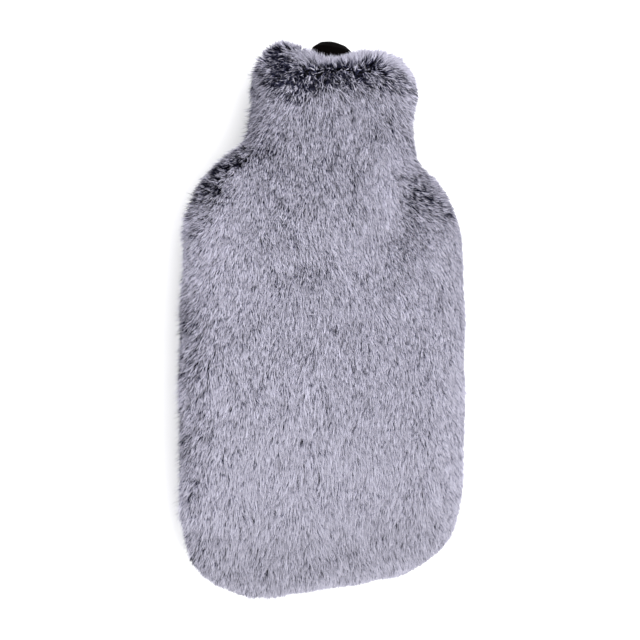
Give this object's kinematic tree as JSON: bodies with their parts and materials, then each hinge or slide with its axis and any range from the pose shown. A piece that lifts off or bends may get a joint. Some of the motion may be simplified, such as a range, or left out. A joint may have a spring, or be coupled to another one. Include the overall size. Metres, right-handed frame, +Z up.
{
  "type": "hot water bottle cover with rubber bottle",
  "caption": "Long-pile faux-fur cover with a flared, open neck, fitted over a black rubber hot water bottle and lying on its back.",
  "frame": {"origin": "on the resting surface, under the middle of the object", "axes": "+Z up through the front panel, +Y from the base towards the mouth, +X to the right"},
  "size_m": [0.2314, 0.387, 0.068],
  "materials": {
    "fur": "long lying pile, frosted: near-black roots, slate middle and pale lavender-grey tips",
    "rubber": "smooth black rubber with a soft sheen"
  },
  "bodies": {
    "root": {"front_panel": "fur", "back_panel": "fur", "bottle": "rubber"}
  },
  "joints": []
}
